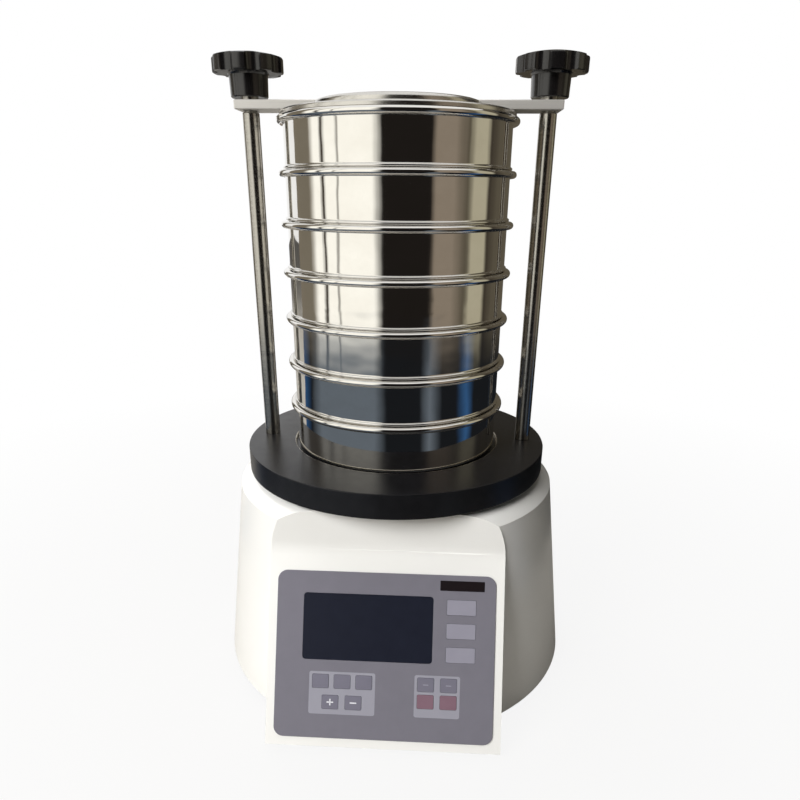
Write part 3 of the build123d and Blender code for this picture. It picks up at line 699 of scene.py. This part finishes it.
def lidForm(name, inset):
    low = lid["seat"] - (openBelow if inset else 0)
    rim, rimTop = lid["rim"] - inset, lid["seat"] + lid["rimHeight"] - inset
    crownTop = lid["ledge"] + lid["crownHeight"] - inset
    corner = lid["crownRound"] - inset
    crown = lid["crown"] - inset
    profile = [(0, low), (rim, low)]
    profile += arcPoints(rim - 2.0, rimTop - 1.8, 2.0, 0, 84, 8)
    profile += [(lid["ledgeRadius"] + 3 - inset, lid["ledge"] + 0.05 - inset)]
    profile += [(lid["ledgeRadius"] - inset, lid["ledge"] - inset), (crown + 0.6, lid["ledge"] + 0.1 - inset)]
    profile += [(crown, lid["ledge"] + 0.9 - inset)]
    profile += arcPoints(crown - corner, crownTop - corner, corner, 0, 90, 8)
    profile += [(0, crownTop)]
    piece = turnPiece(name, profile)
    channel = boxPiece(
        "channelTool",
        (300, lid["channel"] + 2 * inset, 20),
        (0, 0, lid["ledge"] - inset + 10),
    )
    return shapeWith(piece, channel)


lidPiece = lidForm("lidCover", 0)
lidHollow = lidForm("lidHollow", 1.0)
shapeWith(lidHollow, postPiece("lidReach", sieve["skirtRadius"] - 1.0, 500, 560, sides=144), "INTERSECT")
shapeWith(lidPiece, lidHollow)
skirtLow = lid["seat"] - sieve["skirt"]
lidSkirt = turnPiece("lidSkirt", [
    (sieve["skirtRadius"], lid["seat"] + 0.5),
    (sieve["skirtRadius"], skirtLow + 1.2),
    (sieve["skirtRadius"] - 0.4, skirtLow),
    (sieve["skirtRadius"] - 1.0, skirtLow),
    (sieve["skirtRadius"] - 1.0, lid["seat"] + 0.5),
])
shapeWith(lidPiece, lidSkirt, "UNION")
softenEdges(lidPiece, 0.35, 2, 50)
finishPiece(lidPiece, "cover", paints["spun_steel"], ["lid"])
print("lid ready")


# clamp: rods, bar, bushes and knobs

clamp = {
    "spacing": 262, "rod": 7.5, "plateTop": 240, "barBottom": 541.2, "barTop": 548.7, "barLength": 283,
    "barWidth": 34, "stud": 6.0, "studTop": 572.7, "thread": 1.75, "root": 5.05,
}
knob = {
    "foot": 16.3, "hub": 16.9, "head": 30.7, "low": 551.2, "headLow": 569.7, "headTop": 583.2, "crown": 3.6,
    "domeDrop": 0.7, "lobes": 8, "flute": 8.0, "fluteDepth": 4.6, "bore": 7.5, "boreTop": 570.7, "studHole": 6.12,
}


def threadedEnd(name, low, high):
    # a screw of sharp ridges, one turn for each step up the stud
    turns = int((high - low) / clamp["thread"]) - 1
    crest = clamp["stud"] - 0.05
    ridge = [
        (clamp["root"], 0), (crest, clamp["thread"] * 0.44), (crest, clamp["thread"] * 0.56),
        (clamp["root"], clamp["thread"]),
    ]
    piece = drawChain(name, [(r * mm, 0, (low + 0.2 + z) * mm) for r, z in ridge])
    bpy.ops.object.mode_set(mode="OBJECT")
    modifier = piece.modifiers.new("screw", "SCREW")
    modifier.screw_offset = clamp["thread"] * mm
    modifier.iterations = turns
    modifier.steps = 24
    modifier.render_steps = 24
    modifier.use_merge_vertices = True
    modifier.merge_threshold = looseSeam
    applyModifiers(piece)
    bpy.ops.object.mode_set(mode="EDIT")
    closeShape(looseSeam)
    return piece


def rodPiece(name):
    low, high = clamp["plateTop"], clamp["barBottom"] - 1.0
    piece = turnPiece(name, [
        (0, 217), (clamp["stud"] - 0.6, 217), (clamp["stud"], 217.6), (clamp["stud"], low),
        (clamp["rod"] - 0.3, low), (clamp["rod"], low + 0.3), (clamp["rod"], high - 1.0), (clamp["rod"] - 1.0, high),
        (clamp["root"] + 0.02, high), (clamp["root"] + 0.02, clamp["studTop"] - 1.0),
        (clamp["root"] - 1, clamp["studTop"]), (0, clamp["studTop"]),
    ], 64)
    thread = threadedEnd(name + "Thread", high + 0.5, clamp["studTop"] - 1.0)
    pickPiece(piece)
    thread.select_set(True)
    bpy.ops.object.join()
    return piece


def knobPiece(name):
    shoulder = knob["headTop"] - knob["domeDrop"]
    rise = knob["headTop"] + knob["crown"] - 0.6 - shoulder
    dome = [
        (knob["head"] - 2.4 - (knob["head"] - 2.4) * t, shoulder + rise * sin(t * pi / 2) ** 0.9)
        for t in (0.15, 0.3, 0.45, 0.6, 0.75, 0.9)
    ]
    head = turnPiece(name, [
        (0, knob["low"]), (knob["foot"] - 0.8, knob["low"]), (knob["foot"], knob["low"] + 0.8),
        (knob["hub"], knob["headLow"] - 1.2), (knob["hub"] + 1.2, knob["headLow"]),
        (knob["head"] - 1.4, knob["headLow"]), (knob["head"] - 0.3, knob["headLow"] + 0.5),
        (knob["head"], knob["headLow"] + 1.5), (knob["head"], shoulder - 1.6),
        (knob["head"] - 0.7, shoulder - 0.5), (knob["head"] - 2.4, shoulder),
    ] + dome + [(0, shoulder + rise)], 128)
    middle = knob["head"] - knob["fluteDepth"] + knob["flute"]
    for index in range(knob["lobes"]):
        turn = 2 * pi * (index + 0.5) / knob["lobes"]
        place = (middle * cos(turn), middle * sin(turn))
        shapeWith(head, postPiece("fluteTool", knob["flute"], knob["headLow"] - 0.02, 600, *place, 64))
    softenEdges(head, 1.3, 4, 38)
    shapeWith(head, postPiece("boreTool", knob["bore"] + 0.02, 540, knob["boreTop"]))
    shapeWith(head, postPiece("studTool", knob["studHole"], 560, clamp["studTop"] + 4))
    return head


barPiece = boxPiece("clampBar", (clamp["barLength"], clamp["barWidth"], clamp["barTop"] - clamp["barBottom"]), (
    0, 0, (clamp["barBottom"] + clamp["barTop"]) / 2
))
softenEdges(barPiece, 0.9, 3)
for side in (-1, 1):
    shapeWith(barPiece, postPiece("holeTool", clamp["stud"] + 0.4, 530, 560, side * clamp["spacing"] / 2))
finishPiece(barPiece, "clamp_bar", paints["satin_bar"], ["crossbar"])

rodMaster = rodPiece("rodMaster")
knobMaster = knobPiece("knobMaster")
for side, shift in (("left", -clamp["spacing"] / 2), ("right", clamp["spacing"] / 2)):
    rod = copyPiece(rodMaster, f"clampRod.{side}", (shift, 0, 0))
    finishPiece(rod, "vibrator", paints["polished_steel"], [f"rod_{side}"])
    star = copyPiece(knobMaster, f"starKnob.{side}", (shift, 0, 0))
    finishPiece(star, f"hand_knob_{side}", paints["black_gloss"], [f"knob_{side}"], 40)
for spare in (rodMaster, knobMaster):
    bpy.data.meshes.remove(spare.data)
print("clamp ready")


# vibrating plate

plate = {"radius": 151.5, "low": 216, "top": 240, "edge": 1.0, "recess": 104, "depth": 3.0, "nutPocket": 14}
platePiece = turnPiece("vibratingPlate", [
    (0, plate["low"]),
    (plate["radius"] - plate["edge"], plate["low"]), (plate["radius"] - 0.3, plate["low"] + 0.3),
    (plate["radius"], plate["low"] + plate["edge"]), (plate["radius"], plate["top"] - plate["edge"]),
    (plate["radius"] - 0.3, plate["top"] - 0.3), (plate["radius"] - plate["edge"], plate["top"]),
    (plate["recess"] + 0.8, plate["top"]), (plate["recess"], plate["top"] - 0.8),
    (plate["recess"], plate["top"] - plate["depth"]), (0, plate["top"] - plate["depth"]),
], 192)
for side in (-1, 1):
    place = side * clamp["spacing"] / 2
    shapeWith(platePiece, postPiece("pocketTool", plate["nutPocket"], 210, plate["low"] + 12, place))
    shapeWith(platePiece, postPiece("holeTool", clamp["stud"] + 0.1, 210, 250, place))
finishPiece(platePiece, "vibrator", paints["black_coat"], ["vibrating_plate"])
print("plate ready")


# housing

housing = {
    "low": 8, "high": 212, "bottom": 186, "shoulder": 162, "shoulderHeight": 201, "crown": 138, "mouth": 120,
    "wall": 4, "half": 107.5, "neckHalf": 100, "neckDrop": 32, "toe": 201, "tilt": 24, "brow": 127.4, "blend": 30,
}


def drumPiece(name, inset):
    flare = (housing["bottom"] - housing["shoulder"]) / (housing["shoulderHeight"] - housing["low"])
    edge = (housing["shoulder"] - inset, housing["shoulderHeight"] - inset * flare)
    crown = (housing["crown"] - inset, housing["high"] - inset)
    rise, run = crown[1] - edge[1], edge[0] - crown[0]
    bow = [
        (edge[0] - run * t, edge[1] + rise * (1 - (1 - t) ** 2.2)) for t in (0.08, 0.2, 0.34, 0.5, 0.66, 0.82)
    ]
    low = housing["low"] - (openBelow if inset else 0)
    foot = (housing["bottom"] - inset - (low - housing["low"]) * flare, low)
    return turnPiece(name, [(0, low), foot, edge] + bow + [crown, (0, crown[1])], 192)


def frontProfile(inset):
    # side view of all that lies behind the front face, as depth and height
    tilt = radians(housing["tilt"])
    toe = -housing["toe"] + inset / cos(tilt)
    brow = -housing["brow"] + inset
    bend = housing["low"] + (brow - toe) / tan(tilt)
    reach = housing["blend"] * tan(tilt / 2)
    low = housing["low"] - (openBelow if inset else 0)
    foot = (toe - (housing["low"] - low) * tan(tilt), low)
    start = (brow - reach * sin(tilt), bend - reach * cos(tilt))
    middle = (start[0] - housing["blend"] * cos(tilt), start[1] + housing["blend"] * sin(tilt))
    curve = arcPoints(*middle, housing["blend"], -housing["tilt"], 0, 8)
    return [foot] + curve + [(brow, 240), (230, 240), (230, low)]


def wedgeOutline(inset):
    # front view of the console: upright sides that draw in towards the shoulder
    half, neck = housing["half"] - inset, housing["neckHalf"] - inset
    high = housing["shoulderHeight"] - inset * 0.2
    low = housing["low"] - (openBelow if inset else 0)
    right = [
        (half - (half - neck) * t * t, high - housing["neckDrop"] * (1 - t)) for t in (0, 0.2, 0.4, 0.6, 0.8, 1)
    ]
    return [(-half, low), (half, low)] + right + [(-x, z) for x, z in reversed(right)]


def housingForm(name, inset):
    drum = drumPiece(name, inset)
    side = [(-230, y, z) for y, z in frontProfile(inset)]
    front = [(x, -260, z) for x, z in wedgeOutline(inset)]
    shapeWith(drum, liftPrism("behindTool", side, (460, 0, 0)), "INTERSECT")
    wedge = liftPrism("wedgeTool", side, (460, 0, 0))
    shapeWith(wedge, liftPrism("sidesTool", front, (0, 260, 0)), "INTERSECT")
    return shapeWith(drum, wedge, "UNION")


pocket = {"width": 92, "height": 46, "low": 34, "floor": 166}
inlet = {"across": 20, "width": 28.4, "height": 22.4}
switch = {"across": -24, "width": 16.2, "height": 25.2}


def pocketTool(name, grow):
    return boxPiece(name, (pocket["width"] + 2 * grow, 80, pocket["height"] + 2 * grow), (
        0, pocket["floor"] - grow + 40, pocket["low"] + pocket["height"] / 2
    ))


panelTilt = radians(90 - housing["tilt"])
panel = {
    "width": 200, "length": 152, "corner": 9, "thick": 1.0, "height": 84.8,
    "display": (119, 61, 3, -16.0, 25.5), "gap": 0.2,
}
panelDepth = -housing["toe"] + (panel["height"] - housing["low"]) * tan(radians(housing["tilt"]))


def setOnPanel(piece, across=0.0, up=0.0, out=0.0):
    # a piece drawn flat at the origin is tilted up on to the console
    piece.location = (
        across * mm,
        (panelDepth + up * cos(panelTilt) - out * sin(panelTilt)) * mm,
        (panel["height"] + up * sin(panelTilt) + out * cos(panelTilt)) * mm,
    )
    piece.rotation_euler = (panelTilt, 0, 0)
    return applyPlace(piece)


def flatPiece(name, width, length, corner, low, high, steps=6):
    outline = [(x, y, low) for x, y in roundedOutline(width, length, corner, steps)]
    return liftPrism(name, outline, (0, 0, high - low))


shell = housingForm("housingShell", 0)
cavity = housingForm("housingCavity", housing["wall"])
shapeWith(cavity, pocketTool("pocketWall", housing["wall"]))
shapeWith(shell, cavity)
shapeWith(shell, pocketTool("pocketTool", 0))
shapeWith(shell, postPiece("mouthTool", housing["mouth"], 195, 230))
window = flatPiece("windowTool", panel["width"] - 24, panel["length"] - 24, 1, -12, 6, 1)
shapeWith(shell, setOnPanel(window))
rear = pocket["low"] + pocket["height"] / 2
for hole in (inlet, switch):
    size = (hole["width"], 20, hole["height"])
    shapeWith(shell, boxPiece("rearTool", size, (hole["across"], pocket["floor"], rear)))
softenEdges(shell, 1.2, 3, 30)
finishPiece(shell, "base", paints["white_enamel"], ["housing"], 30)
print("housing ready")


# control panel

keys = {
    "wide": {"size": (26.3, 13.7), "across": 69.0, "up": 46.8, "pitch": 21.5},
    "setting": {"size": (15.0, 12.5), "across": -38.0, "up": -24.4, "pitch": 19.9},
    "step": {"size": (15.0, 12.5), "across": -38.0, "up": -43.2, "pitch": 21.2},
    "run": {"size": (15.0, 12.5), "across": 48.7, "up": -24.0, "pitch": 20.8, "row": 15.4},
    "corner": 1.0, "proud": 0.3,
}


def keyPlaces():
    places = {}
    for row, name in enumerate(("key_light", "key_mode", "key_auto")):
        group = keys["wide"]
        places[name] = (group["across"], group["up"] - row * group["pitch"], group["size"])
    for column, name in enumerate(("key_timer", "key_amplitude", "key_frequency")):
        group = keys["setting"]
        places[name] = (group["across"] + (column - 1) * group["pitch"], group["up"], group["size"])
    for side, name in ((-0.5, "key_plus"), (0.5, "key_minus")):
        group = keys["step"]
        places[name] = (group["across"] + side * group["pitch"], group["up"], group["size"])
    for row, names in enumerate((("key_pause", "key_resume"), ("key_stop", "key_start"))):
        group = keys["run"]
        for side, name in zip((-0.5, 0.5), names):
            places[name] = (group["across"] + side * group["pitch"], group["up"] - row * group["row"], group["size"])
    return places


def filmTool(width, length, corner, across, up, steps=6):
    # a block right through the film and its inks, for cutting
    tool = flatPiece("filmTool", width, length, corner, -1, 3, steps)
    tool.location = (across * mm, up * mm, 0)
    return applyPlace(tool)


film = flatPiece("panelFilm", panel["width"], panel["length"], panel["corner"], 0, panel["thick"], 10)
width, length, corner, across, up = panel["display"]
shapeWith(film, filmTool(width, length, corner, across, up))
for keyAcross, keyUp, size in keyPlaces().values():
    gap = 2 * panel["gap"]
    shapeWith(film, filmTool(size[0] + gap, size[1] + gap, 1.2, keyAcross, keyUp, 3))
softenEdges(film, 0.2, 2, 50)
finishPiece(setOnPanel(film), "base", paints["panel_film"], ["control_panel"])

glass = flatPiece("displayWindow", width - 0.1, length - 0.1, corner, -4.0, panel["thick"] - 0.1)
softenEdges(glass, 0.15, 2, 50)
finishPiece(setOnPanel(glass, across, up), "base", paints["display_glass"], ["display_window"])

# printed fields on the film, each a thin layer of ink cut back a little round its keys
inkGap = 0.5
fields = {
    "inkFieldLeft": (60.6, 38.6, 2.0, -38.0, -34.9, "panel_patch"),
    "inkFieldRight": (41.3, 38.2, 2.0, 48.75, -34.5, "panel_patch"),
    "inkPlateBare": (40.4, 9.2, 0.6, 69.4, 66.4, "panel_black"),
}
for name, (width, length, corner, across, up, paintName) in fields.items():
    field = flatPiece(name, width, length, corner, panel["thick"] - 0.01, panel["thick"] + 0.04)
    for keyAcross, keyUp, size in keyPlaces().values():
        if abs(keyAcross - across) < width / 2 and abs(keyUp - up) < length / 2:
            place = (keyAcross - across, keyUp - up)
            shapeWith(field, filmTool(size[0] + inkGap, size[1] + inkGap, 1.2, *place, 3))
    finishPiece(setOnPanel(field, across, up), "base", paints[paintName])
print("panel ready")


# signs on the keys, each made of bars with a width and a length
marks = {
    "key_plus": [(6.0, 1.1), (1.1, 6.0)],
    "key_minus": [(6.0, 1.1)],
    "key_pause": [(5.0, 0.7)],
    "key_resume": [(5.0, 0.7)],
}
for name, (across, up, size) in keyPlaces().items():
    top = panel["thick"] + keys["proud"]
    pad = flatPiece(name + "_pad", size[0], size[1], keys["corner"], 0, top, 4)
    softenEdges(pad, 0.22, 3, 50)
    body, slot = name + "_pad", nodeSlots[name]
    finishPiece(setOnPanel(pad, across, up), body, paints[slot], [name])
    ink = "panel_mark" if name in ("key_plus", "key_minus") else "panel_faint"
    for index, (width, length) in enumerate(marks.get(name, [])):
        mark = flatPiece(f"{name}_mark{index}", width, length, 0.2, 0, 0.04, 2)
        finishPiece(setOnPanel(mark, across, up, top - 0.01), body, paints[ink])
print("keys ready")


# springs under the plate, kept as one still copy of the part's mesh in spring steel; on the machine their lower coils
# stand still while their upper coils move with the plate
springPiece = bpy.data.objects.new("supportSprings", frame["nodes"]["support_springs"].data.copy())
bpy.context.scene.collection.objects.link(springPiece)
pickPiece(springPiece)
bpy.ops.object.mode_set(mode="EDIT")
bpy.ops.mesh.select_all(action="SELECT")
bpy.ops.mesh.remove_doubles(threshold=looseSeam)
bpy.ops.object.mode_set(mode="OBJECT")
bpy.ops.object.shade_smooth_by_angle(angle=radians(40))
springPiece.data.materials.clear()
springPiece.data.materials.append(paints["spring_steel"])
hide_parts("support_springs")
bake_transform(springPiece)
print("springs ready")
